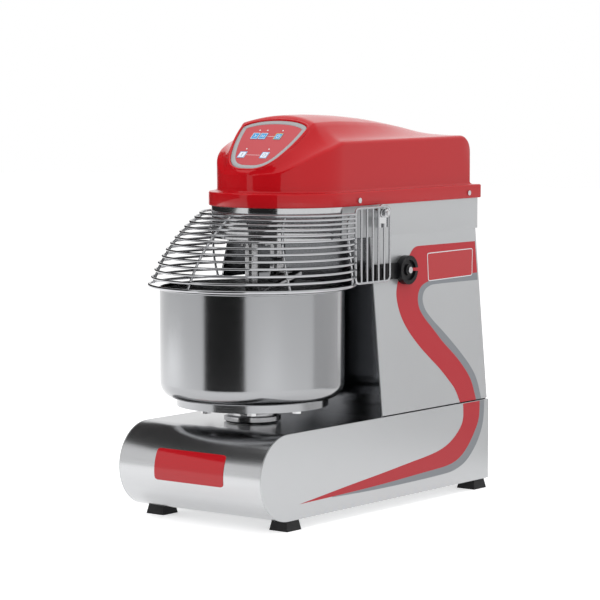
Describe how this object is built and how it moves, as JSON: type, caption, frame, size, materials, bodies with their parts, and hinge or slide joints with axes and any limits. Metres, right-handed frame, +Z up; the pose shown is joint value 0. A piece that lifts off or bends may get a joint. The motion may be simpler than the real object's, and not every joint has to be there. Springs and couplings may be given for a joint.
{
  "type": "spiral dough mixer",
  "caption": "Small bench spiral dough mixer: a turning bowl on a long base, a fixed head with a spiral and breaker bar, a red cover with a keypad, and a wire guard that lifts.",
  "frame": {"origin": "bottom centre of the whole machine, at floor level under the rubber feet", "axes": "+Z up, -Y towards the operator (bowl side), +X to the side that carries the guard switch"},
  "size_m": [0.3164, 0.6158, 0.606],
  "materials": {
    "polished_steel": "polished stainless sheet",
    "chrome_wire": "bright chromed wire",
    "fastener_steel": "bright zinc",
    "silver_paint": "satin silver-grey",
    "mirror_steel": "mirror polished stainless sheet",
    "nameplate_red": "satin enamel",
    "rubber": "matt",
    "black_plastic": "matt",
    "frame_paint": "matt primer",
    "grey_plastic": "matt",
    "red_cover": "gloss moulded",
    "bezel_grey": "satin",
    "membrane_red": "satin film",
    "circuit_green": "solder resist",
    "key_blue": "satin film",
    "key_white": "satin film",
    "bowl_steel": "brushed",
    "machined_steel": "turned",
    "cast_pulley": "turned",
    "belt_rubber": "matt",
    "motor_paint": "matt"
  },
  "bodies": {
    "machine": {"base_wrap": "polished_steel", "base_side_left": "silver_paint", "base_side_right": "silver_paint", "base_tray": "silver_paint", "front_nameplate": "nameplate_red", "rubber_feet": "rubber", "foot_studs": "fastener_steel", "cable_gland": "black_plastic", "machine_frame": "frame_paint", "inverter_box": "grey_plastic", "column_side_left": "silver_paint", "column_side_right": "silver_paint", "column_front_cover": "mirror_steel", "column_rear_cover": "silver_paint", "head_plate": "frame_paint", "head_shroud": "polished_steel", "head_rear_panel": "silver_paint", "head_cover": "red_cover", "cover_screws": "fastener_steel", "panel_bezel": "bezel_grey", "panel_membrane": "membrane_red", "control_board": "circuit_green", "pivot_bolts": "fastener_steel", "interlock_arm": "black_plastic", "interlock_cap": "black_plastic", "interlock_screw": "fastener_steel", "spindle_bearings": "machined_steel", "spindle_housing": "frame_paint", "breaker_bar": "machined_steel", "head_bolts": "fastener_steel", "spiral_bearings": "machined_steel", "spiral_housing": "frame_paint", "layshaft_bearings": "machined_steel", "motor_body": "motor_paint", "motor_belt": "belt_rubber", "spiral_belt": "belt_rubber", "bowl_belt": "belt_rubber"},
    "guard": {"guard_rings": "chrome_wire", "guard_ribs": "chrome_wire", "side_grille": "chrome_wire", "side_plate": "polished_steel", "pivot_tab": "polished_steel", "guard_magnet": "black_plastic"},
    "bowl_group": {"bowl": "bowl_steel", "bowl_carrier": "bowl_steel", "bowl_bolts": "fastener_steel", "bowl_spindle": "machined_steel", "bowl_pulley": "cast_pulley"},
    "spiral_group": {"spiral_hook": "machined_steel", "spiral_shaft": "machined_steel", "spiral_pulley": "cast_pulley"},
    "layshaft_group": {"layshaft": "machined_steel", "layshaft_pulleys": "cast_pulley"},
    "motor_rotor": {"motor_shaft": "machined_steel", "motor_pulley": "cast_pulley"},
    "key_low_speed_cap": {"key_low_speed": "key_blue"},
    "key_high_speed_cap": {"key_high_speed": "key_blue"},
    "key_timer_cap": {"key_timer": "key_blue"},
    "key_start_cap": {"key_start": "key_white"},
    "key_stop_cap": {"key_stop": "key_white"}
  },
  "joints": [
    {"name": "guard_lift", "type": "hinge", "parent": "machine", "child": "guard", "pos_m": [0, 0.01491, 0.4565], "axis": [-1, 0, 0], "range_deg": [0, 75]},
    {"name": "bowl_spin", "type": "hinge", "parent": "machine", "child": "bowl_group", "pos_m": [0, -0.15009, 0.2155], "axis": [0, 0, 1], "continuous": true},
    {"name": "spiral_spin", "type": "hinge", "parent": "machine", "child": "spiral_group", "pos_m": [0, -0.08809, 0.2155], "axis": [0, 0, 1], "continuous": true},
    {"name": "layshaft_spin", "type": "hinge", "parent": "machine", "child": "layshaft_group", "pos_m": [0, 0.06491, 0.2155], "axis": [0, 0, 1], "continuous": true},
    {"name": "motor_spin", "type": "hinge", "parent": "machine", "child": "motor_rotor", "pos_m": [0, 0.18991, 0.2155], "axis": [0, 0, 1], "continuous": true},
    {"name": "key_low_speed_press", "type": "slide", "parent": "machine", "child": "key_low_speed_cap", "axis": [0, 0.6468, -0.7627], "range_m": [0, 0.0008], "stiffness_N_per_m": 400},
    {"name": "key_high_speed_press", "type": "slide", "parent": "machine", "child": "key_high_speed_cap", "axis": [0, 0.6468, -0.7627], "range_m": [0, 0.0008], "stiffness_N_per_m": 400},
    {"name": "key_timer_press", "type": "slide", "parent": "machine", "child": "key_timer_cap", "axis": [0, 0.6468, -0.7627], "range_m": [0, 0.0008], "stiffness_N_per_m": 400},
    {"name": "key_start_press", "type": "slide", "parent": "machine", "child": "key_start_cap", "axis": [0, 0.6468, -0.7627], "range_m": [0, 0.0008], "stiffness_N_per_m": 400},
    {"name": "key_stop_press", "type": "slide", "parent": "machine", "child": "key_stop_cap", "axis": [0, 0.6468, -0.7627], "range_m": [0, 0.0008], "stiffness_N_per_m": 400}
  ],
  "couplings": [
    {"joint": "spiral_spin", "follows": "bowl_spin", "ratio": 3.5},
    {"joint": "layshaft_spin", "follows": "bowl_spin", "ratio": 7},
    {"joint": "motor_spin", "follows": "bowl_spin", "ratio": 28}
  ]
}
